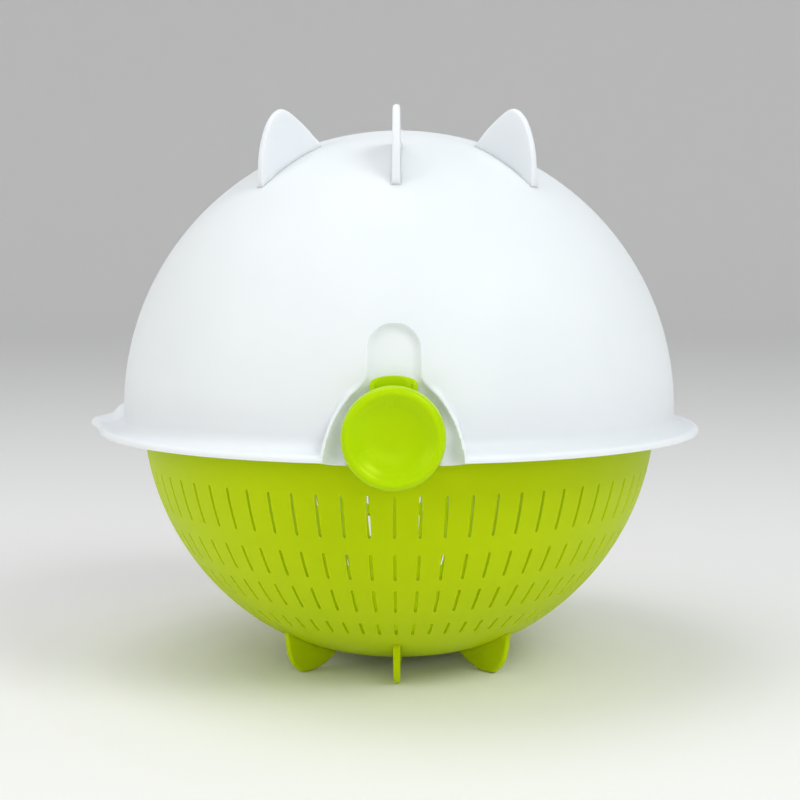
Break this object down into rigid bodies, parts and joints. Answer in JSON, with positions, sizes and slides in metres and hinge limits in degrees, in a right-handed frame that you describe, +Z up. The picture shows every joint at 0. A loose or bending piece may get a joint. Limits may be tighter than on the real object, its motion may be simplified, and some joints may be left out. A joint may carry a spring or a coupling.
{
  "type": "ball salad spinner",
  "caption": "Ball-shaped salad spinner: a white bowl with fins and a pouring spout closes over a slotted green colander on feet, on two dished pivot knobs.",
  "frame": {"origin": "on the surface it stands on, under the middle of the footprint; the ball's vertical axis is at X = +3.2 mm because the spout reaches further on -X", "axes": "+Z up, +Y to the back along the pivot axis (the front knob is on -Y), -X towards the spout"},
  "size_m": [0.2672, 0.266, 0.2367],
  "materials": {
    "white_plastic": "satin",
    "green_plastic": "satin",
    "knob_plastic": "satin gloss",
    "pin_plastic": "satin",
    "ring_rubber": "matte"
  },
  "bodies": {
    "colander": {"colander": "green_plastic", "friction_ring_front": "ring_rubber", "friction_ring_back": "ring_rubber"},
    "bowl": {"bowl": "white_plastic"},
    "lock_front": {"lock_plate_front": "knob_plastic", "axle_front": "pin_plastic"},
    "lock_back": {"lock_plate_back": "knob_plastic", "axle_back": "pin_plastic"},
    "cap_front": {"knob_cap_front": "knob_plastic"},
    "cap_back": {"knob_cap_back": "knob_plastic"}
  },
  "joints": [
    {"name": "bowl_tilt", "type": "hinge", "parent": "colander", "child": "bowl", "pos_m": [0.0032, 0, 0.111], "axis": [0, 1, 0], "range_deg": [-49, 53]},
    {"name": "lock_pull_front", "type": "slide", "parent": "bowl", "child": "lock_front", "axis": [0, -1, 0], "range_m": [0, 0.012]},
    {"name": "lock_pull_back", "type": "slide", "parent": "bowl", "child": "lock_back", "axis": [0, 1, 0], "range_m": [0, 0.012]},
    {"name": "cap_spin_front", "type": "hinge", "parent": "lock_front", "child": "cap_front", "pos_m": [0.0032, -0.124, 0.111], "axis": [0, -1, 0], "continuous": true},
    {"name": "cap_spin_back", "type": "hinge", "parent": "lock_back", "child": "cap_back", "pos_m": [0.0032, 0.124, 0.111], "axis": [0, 1, 0], "continuous": true}
  ]
}
